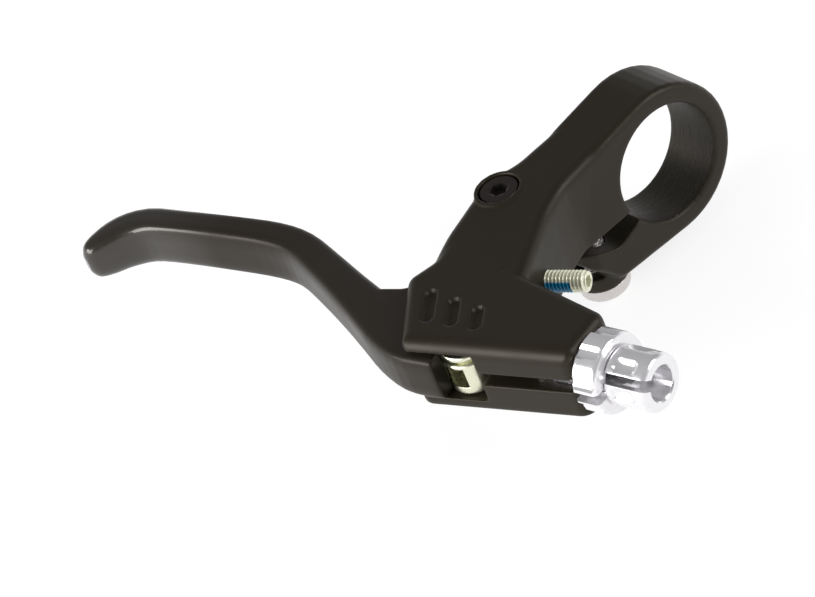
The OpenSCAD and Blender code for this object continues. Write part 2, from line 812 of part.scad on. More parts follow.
// Button-head bolt that draws the two lugs together
module clamp_bolt() {
    socket = 3;
    seat = -lug_depth - clamp_boss_h;
    tip = 5;
    r = clamp_head_d / 2;
    rim = 0.7;
    color("#cfcac6")
        translate([0, -clamp_bolt_y, 0])
            difference() {
                union() {
                    translate([0, 0, seat - 0.2]) cylinder(h = tip - seat + 0.2, r = clamp_bolt_d / 2);
                    translate([0, 0, seat])
                        rotate_extrude()
                            polygon(concat(
                                [[0, 0], [0, -clamp_head_h]],
                                [for (a = [10:10:90])
                                    [r * sin(a), -rim - (clamp_head_h - rim) * cos(a)]],
                                [[r, 0]]
                            ));
                }
                translate([0, 0, seat - clamp_head_h - past])
                    cylinder(h = 1.8 + past, d = socket / cos(30), $fn = 6);
            }
}

lever_bracket();
lever_blade();
pivot_bolt();
pivot_nut();
pivot_bush();
upper_pivot_washer();
lower_pivot_washer();
cable_anchor();
barrel_adjuster();
lock_nut();
reach_screw();
clamp_bolt();
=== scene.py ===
"""Look of a bicycle brake lever: castings with soft edges, turned and threaded fittings, and a studio.

Every length in the code is in metres. The frame is the lever's own: the origin is the centre of the
handlebar bore, +X runs along the handlebar, -Y points to the blade and +Z is up along the pivot.
"""

import json
import math

import bmesh
import bpy
import numpy as np
from bpy.props import (
    FloatProperty,
    FloatVectorProperty,
    IntProperty,
    PointerProperty,
)
from mathutils import Matrix, Vector


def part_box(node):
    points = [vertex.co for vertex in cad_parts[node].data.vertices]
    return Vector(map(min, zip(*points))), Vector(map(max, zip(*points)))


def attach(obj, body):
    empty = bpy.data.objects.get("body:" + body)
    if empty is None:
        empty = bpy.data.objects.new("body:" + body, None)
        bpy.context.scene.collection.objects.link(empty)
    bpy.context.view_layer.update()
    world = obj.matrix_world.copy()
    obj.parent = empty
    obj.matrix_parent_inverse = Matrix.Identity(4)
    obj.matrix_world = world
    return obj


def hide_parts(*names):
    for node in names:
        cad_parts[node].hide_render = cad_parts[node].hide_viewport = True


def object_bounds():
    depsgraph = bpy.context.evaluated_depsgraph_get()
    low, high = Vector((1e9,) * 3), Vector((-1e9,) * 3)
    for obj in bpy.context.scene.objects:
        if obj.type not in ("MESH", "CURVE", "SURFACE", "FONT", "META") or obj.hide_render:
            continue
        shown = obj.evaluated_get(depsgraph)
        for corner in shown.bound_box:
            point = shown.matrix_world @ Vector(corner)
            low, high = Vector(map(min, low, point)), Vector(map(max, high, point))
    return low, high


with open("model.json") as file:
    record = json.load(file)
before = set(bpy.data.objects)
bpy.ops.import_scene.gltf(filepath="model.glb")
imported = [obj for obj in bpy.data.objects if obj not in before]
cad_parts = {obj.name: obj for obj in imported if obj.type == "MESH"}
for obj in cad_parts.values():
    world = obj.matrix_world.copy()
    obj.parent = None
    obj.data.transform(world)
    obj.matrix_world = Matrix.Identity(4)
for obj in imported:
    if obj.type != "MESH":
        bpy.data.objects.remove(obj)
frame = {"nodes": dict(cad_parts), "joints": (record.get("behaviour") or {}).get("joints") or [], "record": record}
CAD_LOW, CAD_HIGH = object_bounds()

bl_info = {
    "name": "Brake lever looks",
    "version": (1, 0, 0),
    "blender": (4, 5, 0),
    "location": "3D View > Sidebar > Brake lever",
    "description": "Builds the castings, the turned fittings and the studio of a bicycle brake lever",
    "category": "Object",
}

MM = 0.001
TURN = 2 * math.pi
JOINTS = {j["name"]: j for j in frame["joints"]}
MERGE = 1e-6  # corners of a CAD mesh that lie nearer than this are one
AXIS = 0.02 * MM  # radius of the small flat that ends a socket at its axis
BRACKET_GRAIN = 1.13  # the larger casting has a coarser grain, to stay under 200 thousand triangles
ARC_POINTS = 240  # points on each of the two arcs of a slotted sleeve
NOISE_LOW, NOISE_HIGH = 0.3, 0.7  # most of a noise lies between these
GRAIN_DEPTH = 0.06 * MM  # bump height of the grain of paint and tumbled metal


class CastingSettings(bpy.types.PropertyGroup):
    """Sizes and colours of the painted castings"""

    edge: FloatProperty(
        name="Cast edge", description="Grain of the soft edges of bracket and blade",
        default=0.30 * MM, unit="LENGTH", precision=5,
    )
    paint: FloatVectorProperty(
        name="Bracket paint", description="Colour of the bracket's satin paint",
        default=(0.0130, 0.0106, 0.0062), subtype="COLOR", size=3,
    )
    blade_paint: FloatVectorProperty(
        name="Blade paint", description="Colour of the blade's satin paint",
        default=(0.0140, 0.0114, 0.0086), subtype="COLOR", size=3,
    )
    satin: FloatProperty(
        name="Paint roughness", description="How soft the paint's sheen is", default=0.42,
        min=0.0, max=1.0, subtype="FACTOR",
    )


class FittingSettings(bpy.types.PropertyGroup):
    """Sizes and colours of the turned fittings"""

    slot: FloatProperty(
        name="Cable slot", description="Width of the slot in the barrel and the lock nut",
        default=2.0 * MM, unit="LENGTH", precision=5,
    )
    flutes: IntProperty(name="Flutes", description="Flutes round the barrel's head", default=6, min=3)
    scallops: IntProperty(
        name="Scallops", description="Scallops round the lock nut", default=8, min=3,
    )
    bright: FloatVectorProperty(
        name="Bright metal", description="Colour of the polished barrel and lock nut",
        default=(0.82, 0.81, 0.83), subtype="COLOR", size=3,
    )
    zinc: FloatVectorProperty(
        name="Yellow zinc", description="Colour of the cable anchor's plating",
        default=(0.77, 0.77, 0.60), subtype="COLOR", size=3,
    )
    screw_zinc: FloatVectorProperty(
        name="Screw zinc", description="Colour of the reach screw's plating",
        default=(0.80, 0.80, 0.64), subtype="COLOR", size=3,
    )
    locker: FloatVectorProperty(
        name="Thread locker", description="Colour of the dry patch on the reach screw",
        default=(0.004, 0.190, 0.360), subtype="COLOR", size=3,
    )
    satin_steel: FloatVectorProperty(
        name="Satin steel", description="Colour of the clamp bolt",
        default=(0.66, 0.625, 0.615), subtype="COLOR", size=3,
    )


class StudioSettings(bpy.types.PropertyGroup):
    """Camera, lamps and backdrop"""

    camera_place: FloatVectorProperty(
        name="Camera", description="Place of the camera", default=(0.61492, -0.36954, 0.53360),
        subtype="TRANSLATION", size=3, precision=5,
    )
    lens: FloatProperty(
        name="Lens", description="Focal length on a sensor 36 mm wide", default=220.86, min=20.0,
    )
    key_power: FloatProperty(name="Key lamp", description="Power of the front lamp in watts", default=9.0)
    fill_power: FloatProperty(name="Fill lamp", description="Power of the side lamp in watts", default=3.0)
    floor: FloatVectorProperty(
        name="Floor", description="Colour of the pale floor", default=(0.85, 0.85, 0.85),
        subtype="COLOR", size=3,
    )


def grid_faces(rows, columns):
    """Quads between neighbouring rows of a grid whose last column joins the first.

    Face (i, j) has the corners (i, j), (i, j+1), (i+1, j+1), (i+1, j), numbered i * columns + j.
    """
    i, j = np.meshgrid(np.arange(rows - 1), np.arange(columns), indexing="ij")
    k = (j + 1) % columns
    quads = [i * columns + j, i * columns + k, (i + 1) * columns + k, (i + 1) * columns + j]
    return np.stack(quads, axis=-1).reshape(-1, 4)


def turned(heights, radii):
    """A turned solid whose radius may change with the angle.

    Row i lies at height heights[i]; its point j is at angle 2 pi j / m with radius radii[i, j].
    The first and the last row are closed with fans to a point on the axis.
    """
    rows, columns = radii.shape
    angles = TURN * np.arange(columns) / columns
    z = np.broadcast_to(np.reshape(heights, (rows, -1)), radii.shape)
    ring = np.stack([radii * np.cos(angles), radii * np.sin(angles), z], axis=-1).reshape(-1, 3)
    poles = np.array([[0, 0, z[0].mean()], [0, 0, z[-1].mean()]])
    j = np.arange(columns)
    k = (j + 1) % columns
    low = np.stack([np.full(columns, rows * columns), k, j], axis=-1)
    top = (rows - 1) * columns
    high = np.stack([np.full(columns, rows * columns + 1), top + j, top + k], axis=-1)
    return np.vstack([ring, poles]), grid_faces(rows, columns).tolist() + low.tolist() + high.tolist()


def slotted(heights, outer, edge_radius, inner, half_slot):
    """A sleeve with a slot along its whole length, open towards angle zero.

    Every section is one closed loop: the outer arc runs from asin(half_slot / edge_radius) round to
    its mirror image at the radius outer(height, angle), and the inner arc runs back at the radius
    inner. Both ends are strips between the two arcs.
    """
    rows, m = len(heights), ARC_POINTS
    t = np.linspace(0, 1, m)
    start = np.arcsin(np.clip(half_slot / edge_radius, 0, 1))[:, None]
    inner_start = np.arcsin(np.clip(half_slot / inner, 0, 0.999))[:, None]
    out_angle = start + t * (TURN - 2 * start)
    in_angle = TURN - inner_start - t * (TURN - 2 * inner_start)
    out_r = outer(heights[:, None], out_angle)
    in_r = np.broadcast_to(inner[:, None], in_angle.shape)
    angle = np.concatenate([out_angle, in_angle], axis=1)
    radius = np.concatenate([out_r, in_r], axis=1)
    z = np.broadcast_to(heights[:, None], angle.shape)
    points = np.stack([radius * np.cos(angle), radius * np.sin(angle), z], axis=-1).reshape(-1, 3)
    j = np.arange(m - 1)
    cap = np.stack([j, j + 1, 2 * m - 2 - j, 2 * m - 1 - j], axis=-1)
    faces = np.vstack([grid_faces(rows, 2 * m), cap[:, ::-1], (rows - 1) * 2 * m + cap])
    return points, faces.tolist()


def profile(corners, step):
    """Heights and radii along straight runs between corners (height, radius), spaced by about step."""
    corners = np.array(corners, float)
    runs = np.linalg.norm(np.diff(corners, axis=0), axis=1)
    travel = np.concatenate([[0], np.cumsum(runs)])
    inside = [np.arange(a, b, step) for a, b in zip(travel[:-1], travel[1:]) if b > a]
    s = np.unique(np.concatenate(inside + [travel]).round(9))  # nanometres
    return np.interp(s, travel, corners[:, 0]), np.interp(s, travel, corners[:, 1])


def arc_corners(centre, radius, start, end, count=7):
    """Corners (height, radius) on an arc about (height, radius) centre; angles run from +height."""
    a = np.radians(np.linspace(start, end, count))
    return [(centre[0] + radius * c, centre[1] + radius * s) for c, s in zip(np.cos(a), np.sin(a))]


def thread_cut(height, angle, pitch, depth):
    """Depth of a right-hand thread: a triangle wave of height / pitch - angle / 2 pi, cut flat."""
    flat = 0.25
    wave = 1 - np.abs(2 * np.mod(height / pitch - angle / TURN, 1) - 1)
    return depth * np.clip((1 + 2 * flat) * wave - flat, 0, 1)


def hexagon(angle, across):
    """Radius of a hexagon of the given size across its flats: half / cos of the angle from a flat."""
    return across / 2 / np.cos(np.mod(angle, TURN / 6) - TURN / 12)


def groove(angle, count, reach, radius, shift=0.0):
    """Distance from the axis to round grooves: the near side of circles of the given radius.

    The circles' centres lie at the distance reach; away from them the distance is infinite.
    """
    off = np.mod(angle / TURN * count + shift, 1) * TURN / count
    off = np.minimum(off, TURN / count - off)
    side = reach * np.sin(off)
    inside = radius**2 - side**2
    return np.where(inside > 0, reach * np.cos(off) - np.sqrt(np.maximum(inside, 0)), np.inf)


def axes_along(direction):
    """Matrix whose columns are down, backwards and along a level direction."""
    along = np.array(direction, float) / np.linalg.norm(direction)
    down = np.array([0.0, 0.0, -1.0])
    return np.stack([down, np.cross(along, down), along], axis=1)


def on_joint(points, joint, degrees=0):
    """Points turned about their own axis, then laid along a joint's axis from the joint's place."""
    spin = np.array(Matrix.Rotation(math.radians(degrees), 3, "Z"))
    return points @ spin.T @ axes_along(joint["axis"]).T + np.array(joint["pos_m"])


def new_mesh(name, points, faces):
    """Mesh of the given points and faces, smooth except at edges sharper than 32 degrees."""
    mesh = bpy.data.meshes.new(name)
    mesh.from_pydata(points.tolist(), [], faces)
    mesh.validate()
    mesh.shade_smooth()
    mesh.set_sharp_from_angle(angle=math.radians(32))
    return mesh


def add_object(name, data):
    """New object at the origin, linked to the scene."""
    made = bpy.data.objects.new(name, data)
    bpy.context.scene.collection.objects.link(made)
    return made


def add_mesh(name, points, faces, along=None):
    """Object of the given points and faces; along is each point's place along the lathe's axis."""
    made = add_object(name, new_mesh(name, points, faces))
    if along is not None:
        add_value(made, "along", along)
    return made


def add_value(made, name, values):
    """Stores one number for every point of a piece, which its material reads."""
    made.data.attributes.new(name, "FLOAT", "POINT").data.foreach_set("value", values.astype(np.float32))


def seat_piece(made, material, body, slot, *nodes):
    """Gives a piece its finish and its body, and hides the nodes that it stands for."""
    made.data.materials.clear()
    made.data.materials.append(material)
    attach(made, body)
    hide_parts(*nodes)


def merged_copy(node):
    """Copy of a node's mesh whose loose triangles are joined at their corners."""
    mesh = frame["nodes"][node].data.copy()
    work = bmesh.new()
    work.from_mesh(mesh)
    bmesh.ops.remove_doubles(work, verts=work.verts, dist=MERGE)
    work.to_mesh(mesh)
    work.free()
    return mesh


def prism(outline, low, high):
    """Upright prism over an anticlockwise outline: a quad on every side, and both end faces."""
    count = len(outline)
    points = np.vstack([np.column_stack([outline, np.full(count, z)]) for z in (low, high)])
    ends = [list(range(count))[::-1], list(range(count, 2 * count))]
    return points, grid_faces(2, count).tolist() + ends


def soften(mesh, name, grain, passes, cutters=()):
    """Piece made from a closed mesh, less its cutters, with edges rounded as cast or tumbled ones are.

    The mesh is remeshed on a lattice of the given grain, and every point is then moved half of the
    way to the mean of its neighbours, as often as passes says.
    """
    source = add_object(name + "_source", mesh)
    tools = []
    for points, faces in cutters:
        tool = add_mesh(name + "_cutter", points, faces)
        cut = source.modifiers.new("Cut", "BOOLEAN")
        cut.object = tool
        cut.solver = "EXACT"
        tools.append(tool)
    remesh = source.modifiers.new("Grain", "REMESH")
    remesh.mode = "VOXEL"
    remesh.voxel_size = grain
    smooth = source.modifiers.new("Soften", "SMOOTH")
    smooth.factor = 0.5
    smooth.iterations = passes
    graph = bpy.context.evaluated_depsgraph_get()
    final = bpy.data.meshes.new_from_object(source.evaluated_get(graph))
    for left in (source, *tools):
        spare = left.data
        bpy.data.objects.remove(left)
        bpy.data.meshes.remove(spare)
    final.name = name
    final.shade_smooth()
    return add_object(name, final)


def points_of(made):
    """Points of a piece as an array with three columns."""
    flat = np.empty(len(made.data.vertices) * 3, np.float32)
    made.data.vertices.foreach_get("co", flat)
    return flat.reshape(-1, 3).astype(float)


def new_material(name, colour, metallic, roughness, specular=0.5):
    """Material with one plain shader, its nodes and links ready to be added to."""
    material = bpy.data.materials.new(name)
    material.use_nodes = True
    shader = material.node_tree.nodes["Principled BSDF"]
    shader.inputs["Base Color"].default_value = (*colour, 1)
    shader.inputs["Metallic"].default_value = metallic
    shader.inputs["Roughness"].default_value = roughness
    shader.inputs["Specular IOR Level"].default_value = specular
    material.diffuse_color = (*colour, 1)
    return material, material.node_tree, shader


def add_noise(tree, scale, detail=2.0, stretch=(1, 1, 1)):
    """Noise on the piece's own coordinates, stretched along its axes."""
    place = tree.nodes.new("ShaderNodeTexCoord")
    mapping = tree.nodes.new("ShaderNodeMapping")
    mapping.inputs["Scale"].default_value = stretch
    noise = tree.nodes.new("ShaderNodeTexNoise")
    noise.inputs["Scale"].default_value = scale
    noise.inputs["Detail"].default_value = detail
    tree.links.new(place.outputs["Object"], mapping.inputs["Vector"])
    tree.links.new(mapping.outputs["Vector"], noise.inputs["Vector"])
    return noise


def add_bump(tree, shader, height, strength, distance):
    """Bump of the given height output, chained before any bump that is there."""
    bump = tree.nodes.new("ShaderNodeBump")
    bump.inputs["Strength"].default_value = strength
    bump.inputs["Distance"].default_value = distance
    tree.links.new(height, bump.inputs["Height"])
    if shader.inputs["Normal"].is_linked:
        tree.links.new(shader.inputs["Normal"].links[0].from_socket, bump.inputs["Normal"])
    tree.links.new(bump.outputs["Normal"], shader.inputs["Normal"])


def add_spread(tree, shader, source, socket, low, high):
    """Lets a noise output move a shader's number between low and high."""
    spread = tree.nodes.new("ShaderNodeMapRange")
    spread.inputs["From Min"].default_value = NOISE_LOW
    spread.inputs["From Max"].default_value = NOISE_HIGH
    spread.inputs["To Min"].default_value = low
    spread.inputs["To Max"].default_value = high
    tree.links.new(source, spread.inputs["Value"])
    tree.links.new(spread.outputs["Result"], shader.inputs[socket])


def satin_paint(name, colour, roughness, bored=False, rubbed=None):
    """Satin stove enamel with a fine grain; inside a bore it shows the turned lines under it.

    rubbed is a pair of places along X: the paint is glossy past the second one, satin before the first.
    """
    material, tree, shader = new_material(name, colour, 0.0, roughness, specular=0.3)
    shader.inputs["Specular Tint"].default_value = (1.0, 0.90, 0.80, 1)
    grain = add_noise(tree, scale=2600, detail=3)
    add_bump(tree, shader, grain.outputs["Fac"], strength=0.16, distance=GRAIN_DEPTH)
    cloud = add_noise(tree, scale=160, detail=4)
    add_spread(tree, shader, cloud.outputs["Fac"], "Roughness", roughness - 0.035, roughness + 0.035)
    if bored:
        lines = add_noise(tree, scale=1, detail=5, stretch=(5200, 90, 90))
        inside = tree.nodes.new("ShaderNodeAttribute")
        inside.attribute_name = "bore"
        masked = tree.nodes.new("ShaderNodeMath")
        masked.operation = "MULTIPLY"
        tree.links.new(lines.outputs["Fac"], masked.inputs[0])
        tree.links.new(inside.outputs["Fac"], masked.inputs[1])
        add_bump(tree, shader, masked.outputs["Value"], strength=0.9, distance=0.22 * MM)
    if rubbed:
        place = tree.nodes.new("ShaderNodeTexCoord")
        split = tree.nodes.new("ShaderNodeSeparateXYZ")
        gloss = tree.nodes.new("ShaderNodeMapRange")
        gloss.inputs["From Min"].default_value, gloss.inputs["From Max"].default_value = rubbed
        tree.links.new(place.outputs["Object"], split.inputs["Vector"])
        tree.links.new(split.outputs["X"], gloss.inputs["Value"])
        tree.links.new(gloss.outputs["Result"], shader.inputs["Coat Weight"])
        shader.inputs["Coat Roughness"].default_value = 0.14
    return material


def turned_metal(name, colour, roughness, lines=0.25, metallic=1.0):
    """Bare or plated metal with the fine rings of a lathe across its axis.

    Below one, metallic leaves a part of the light to scatter, as on worn or frosted plating.
    """
    material, tree, shader = new_material(name, colour, metallic, roughness)
    along = tree.nodes.new("ShaderNodeAttribute")
    along.attribute_name = "along"
    rings = tree.nodes.new("ShaderNodeTexNoise")
    rings.noise_dimensions = "1D"
    rings.inputs["Scale"].default_value = 7000
    rings.inputs["Detail"].default_value = 3
    tree.links.new(along.outputs["Fac"], rings.inputs["W"])
    add_bump(tree, shader, rings.outputs["Fac"], strength=lines, distance=0.03 * MM)
    cloud = add_noise(tree, scale=420, detail=3)
    add_spread(tree, shader, cloud.outputs["Fac"], "Roughness", roughness * 0.8, roughness * 1.3)
    return material


def grained_metal(name, colour, roughness):
    """Tumbled and plated metal: a fine uneven grain without a direction."""
    material, tree, shader = new_material(name, colour, 1.0, roughness)
    grain = add_noise(tree, scale=1500, detail=3)
    add_bump(tree, shader, grain.outputs["Fac"], strength=0.12, distance=GRAIN_DEPTH)
    cloud = add_noise(tree, scale=380, detail=3)
    add_spread(tree, shader, cloud.outputs["Fac"], "Roughness", roughness * 0.8, roughness * 1.3)
    return material


def add_patch(material, colour, mask):
    """Lays a matt patch over a metal where the named attribute is one."""
    tree = material.node_tree
    shader = tree.nodes["Principled BSDF"]
    where = tree.nodes.new("ShaderNodeAttribute")
    where.attribute_name = mask
    mix = tree.nodes.new("ShaderNodeMix")
    mix.data_type = "RGBA"
    mix.inputs["A"].default_value = shader.inputs["Base Color"].default_value
    mix.inputs["B"].default_value = (*colour, 1)
    tree.links.new(where.outputs["Fac"], mix.inputs["Factor"])
    tree.links.new(mix.outputs["Result"], shader.inputs["Base Color"])
    bare = tree.nodes.new("ShaderNodeMath")
    bare.operation = "SUBTRACT"
    bare.use_clamp = True
    bare.inputs[0].default_value = shader.inputs["Metallic"].default_value
    tree.links.new(where.outputs["Fac"], bare.inputs[1])
    tree.links.new(bare.outputs["Value"], shader.inputs["Metallic"])


class LEVER_OT_bracket(bpy.types.Operator):
    """Make the cast bracket with its soft edges and its turned bore"""

    bl_idname = "lever.bracket"
    bl_label = "Bracket"

    def execute(self, context):
        casting = context.scene.lever_casting
        made = soften(merged_copy("lever_bracket"), "bracket_casting", BRACKET_GRAIN * casting.edge, passes=1)
        points = points_of(made)
        bore_r = frame["record"]["mounts"][0]["dims"]["r_mm"] * MM
        near = 0.15 * MM
        inside = np.hypot(points[:, 1], points[:, 2]) < bore_r + near
        add_value(made, "bore", inside.astype(float))
        paint = satin_paint("Bracket paint", casting.paint, casting.satin, bored=True)
        seat_piece(made, paint, "bracket", "bracket_paint", "lever_bracket")
        return {"FINISHED"}


class LEVER_OT_blade(bpy.types.Operator):
    """Make the cast blade with its soft edges"""

    bl_idname = "lever.blade"
    bl_label = "Blade"

    def execute(self, context):
        casting = context.scene.lever_casting
        made = soften(merged_copy("lever_blade"), "blade_casting", casting.edge, passes=3)
        paint = satin_paint(
            "Blade paint", casting.blade_paint, casting.satin - 0.04, rubbed=(-52 * MM, -66 * MM),
        )
        seat_piece(made, paint, "blade", "blade_paint", "lever_blade")
        return {"FINISHED"}


def socket_screw(shank, head, across, pitch, depth, thread_ends, columns=192):
    """Points and faces of a screw that stands on its tip, with a thread and a hexagon socket.

    shank is a pair of arrays, heights and radii; head is a list of such pairs, whose last three rows
    lie in the socket, where the radius is scaled to the hexagon. The thread is cut into the shank's
    rows whose height is between the thread's ends.
    """
    heights, radii = np.array([*zip(*shank), *head], float).T
    angles = TURN * np.arange(columns) / columns
    table = np.repeat(radii[:, None], columns, axis=1)
    table[-3:] = hexagon(angles, across) * (radii[-3:, None] / (across / 2))
    first, last = thread_ends
    cut_rows = (np.arange(len(heights)) < len(shank[0])) & (heights > first) & (heights < last)
    table -= cut_rows[:, None] * thread_cut(heights[:, None], angles, pitch, depth)
    return turned(heights, table)


class LEVER_OT_pivot(bpy.types.Operator):
    """Make the pivot bolt with its hexagon socket, and finish its nut, bush and washers"""

    bl_idname = "lever.pivot"
    bl_label = "Pivot"

    def execute(self, context):
        low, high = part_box("pivot_bolt")
        _, nut_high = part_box("pivot_nut")
        head_r = (high.x - low.x) / 2
        shank_r, across, edge = 2.5 * MM, 3 * MM, 0.35 * MM
        head_z = high.z - 1.6 * MM
        shank = profile([(low.z, shank_r - edge), (low.z + edge, shank_r), (head_z, shank_r)], 0.06 * MM)
        head = [
            (head_z, shank_r), (head_z, head_r - 0.1 * MM), (head_z + 0.1 * MM, head_r),
            *arc_corners((high.z - edge, head_r - edge), edge, 90, 0),
            (high.z, across * 0.66), (high.z, across * 0.62),
            (high.z - 0.15 * MM, across / 2), (head_z + 0.2 * MM, across / 2), (head_z + 0.2 * MM, AXIS),
        ]
        in_nut = (-math.inf, nut_high.z)
        points, faces = socket_screw(
            shank, head, across, pitch=0.8 * MM, depth=0.35 * MM, thread_ends=in_nut,
        )
        centre = (low + high) / 2
        made = add_mesh("pivot_bolt_turned", points + [centre.x, centre.y, 0], faces)
        black = satin_paint("Black steel", (0.012, 0.010, 0.009), roughness=0.25)
        seat_piece(made, black, "bracket", "black_steel", "pivot_bolt")
        finishes = {
            "pivot_nut": ("Nut steel", (0.60, 0.59, 0.57), 0.3, "steel"),
            "pivot_bush": ("Bush metal", (0.50, 0.38, 0.18), 0.35, "bush"),
        }
        for node, (name, colour, roughness, slot) in finishes.items():
            self.finish_node(node, grained_metal(name, colour, roughness), slot)
        plastic, _, _ = new_material("Washer plastic", (0.55, 0.54, 0.50), metallic=0.0, roughness=0.5)
        for node in ("upper_pivot_washer", "lower_pivot_washer"):
            self.finish_node(node, plastic, "washer")
        return {"FINISHED"}

    def finish_node(self, node, material, slot):
        """Gives a node that is shown as it is its material"""
        shown = frame["nodes"][node]
        shown.data.materials.clear()
        shown.data.materials.append(material)


class LEVER_OT_anchor(bpy.types.Operator):
    """Make the swivelling cable anchor in yellow zinc"""

    bl_idname = "lever.anchor"
    bl_label = "Cable anchor"

    def execute(self, context):
        low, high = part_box("cable_anchor")
        centre = (low + high) / 2
        radius = (high.x - low.x) / 2
        neck_r, edge, foot = radius - 1.6 * MM, 0.3 * MM, 0.5 * MM
        neck_low, neck_high, top = 5.9 * MM, 6.65 * MM, 7.8 * MM
        corners = [
            (low.z, 0.01 * MM), (low.z, radius - foot), (low.z + foot, radius),
            (neck_low - edge, radius), (neck_low, radius - edge), (neck_low, neck_r),
            (neck_high, neck_r), (neck_high, radius - edge), (neck_high + edge, radius),
            (top - edge, radius), (top, radius - edge), (top, 0.01 * MM),
        ]
        heights, radii = np.array(corners).T
        points, faces = turned(heights, np.repeat(radii[:, None], 128, axis=1))
        blank = new_mesh("anchor_blank", points + [centre.x, centre.y, 0], faces)
        nipple_pocket = prism(self.mouth(centre, half=3.0 * MM, direction=264), 1.0 * MM, 5.1 * MM)
        cable_slot = prism(self.mouth(centre, half=1.0 * MM, direction=22), low.z - MM, 4.9 * MM)
        cutters = (nipple_pocket, cable_slot)
        made = soften(blank, "anchor_swivel_turned", grain=0.11 * MM, passes=2, cutters=cutters)
        zinc = grained_metal("Yellow zinc", context.scene.lever_fittings.zinc, roughness=0.26)
        seat_piece(made, zinc, "anchor", "anchor_plating", "cable_anchor")
        return {"FINISHED"}

    def mouth(self, centre, half, direction):
        """Outline of a round-ended slot of the given half width, open towards a direction in degrees"""
        arc = np.radians(np.linspace(90, 270, 33))
        reach = 8 * MM
        points = np.vstack([
            [[reach, -half], [reach, half]], half * np.column_stack([np.cos(arc), np.sin(arc)]),
        ])
        spin = np.array(Matrix.Rotation(math.radians(direction), 2))
        return points @ spin.T + [centre.x, centre.y]


class LEVER_OT_barrel(bpy.types.Operator):
    """Make the barrel adjuster: a threaded sleeve with a fluted head and a slot along it"""

    bl_idname = "lever.barrel"
    bl_label = "Barrel adjuster"

    def execute(self, context):
        fittings = context.scene.lever_fittings
        thread_r, bore_r, socket_r = 4.0 * MM, 1.3 * MM, 3.1 * MM
        thread_from, head_from, head_r = -11.0 * MM, 5.4 * MM, 5.3 * MM
        nose, socket_from = 14.0 * MM, 7.5 * MM
        tip, back_r, nose_r = 0.5 * MM, 0.6 * MM, 1.1 * MM
        outline = [
            (thread_from, thread_r - tip), (thread_from + tip, thread_r),
            (head_from, thread_r), (head_from + 0.001 * MM, head_r - back_r),
            *arc_corners((head_from + back_r, head_r - back_r), back_r, 180, 90),
            *arc_corners((nose - nose_r, head_r - nose_r), nose_r, 90, 10),
            (nose, socket_r + 0.35 * MM),
        ]
        heights, edge_radius = profile(outline, 0.15 * MM)
        inner = np.interp(
            heights,
            [thread_from, socket_from, socket_from + 0.05 * MM, nose - 0.3 * MM, nose],
            [bore_r, bore_r, socket_r, socket_r, socket_r + 0.25 * MM],
        )
        flute_r, flute_reach = 1.9 * MM, head_r + 1.0 * MM
        flute_from, flute_to = head_from + 1.0 * MM, nose - 1.9 * MM

        def outer(height, angle):
            """The outline, less the thread's cut inside the bracket, less the flutes on the head"""
            radius = np.repeat(edge_radius[:, None], angle.shape[1], axis=1)
            cut = thread_cut(height, angle, 1.0 * MM, 0.5 * MM)
            radius = radius - np.where(height < head_from - 0.3 * MM, cut, 0)
            past_end = np.maximum(flute_from + flute_r - height, height - flute_to + flute_r)
            past_end = np.clip(past_end, 0, flute_r)
            rise = flute_r - np.sqrt(flute_r**2 - past_end**2)
            away = (height < flute_from) | (height > flute_to)
            flute = groove(angle, fittings.flutes, flute_reach + rise, flute_r, 0.5)
            return np.minimum(radius, np.where(away, np.inf, flute))

        points, faces = slotted(heights, outer, edge_radius, inner, fittings.slot / 2)
        placed = on_joint(points, JOINTS["barrel_turn"], -125)
        made = add_mesh("barrel_adjuster_fluted", placed, faces, points[:, 2])
        bright = turned_metal("Bright barrel", fittings.bright, 0.17, lines=0.3, metallic=0.72)
        seat_piece(made, bright, "barrel", "bright_metal", "barrel_adjuster")
        return {"FINISHED"}


class LEVER_OT_lock_nut(bpy.types.Operator):
    """Make the lock nut: a ring with a rounded front, scallops round it and a slot through it"""

    bl_idname = "lever.lock_nut"
    bl_label = "Lock nut"

    def execute(self, context):
        fittings = context.scene.lever_fittings
        start, end = 0.08 * MM, 5.28 * MM
        rim_r, bore_r = 7.25 * MM, 4.05 * MM
        back, front = 0.4 * MM, 1.0 * MM
        outline = [
            (start, rim_r - back), (start + back, rim_r), (end - front, rim_r),
            *arc_corners((end - front, rim_r - front), front, 85, 25, 6),
            (end, rim_r - front - 0.25 * MM),
        ]
        heights, edge_radius = profile(outline, 0.07 * MM)
        inner = np.interp(
            heights, [start, start + 0.3 * MM, end - 0.3 * MM, end],
            [bore_r + 0.3 * MM, bore_r, bore_r, bore_r + 0.3 * MM],
        )
        groove_r, reach = 1.8 * MM, rim_r + 1.1 * MM
        run_out = 1.4 * MM

        def outer(height, angle):
            """The outline, less the round scallops, which get shallower towards the front"""
            radius = np.repeat(edge_radius[:, None], angle.shape[1], axis=1)
            shallow = np.clip((height - (end - run_out)) / run_out, 0, 1)
            cut = groove(angle, fittings.scallops, reach + 0.7 * MM * shallow**2, groove_r, 0.5)
            return np.minimum(radius, cut)

        points, faces = slotted(heights, outer, edge_radius, inner, fittings.slot / 2)
        placed = on_joint(points, JOINTS["nut_turn"], -90)
        made = add_mesh("lock_nut_scalloped", placed, faces, points[:, 2])
        bright = turned_metal("Bright nut", fittings.bright, 0.15, lines=0.2, metallic=0.7)
        seat_piece(made, bright, "nut", "bright_metal", "lock_nut")
        return {"FINISHED"}


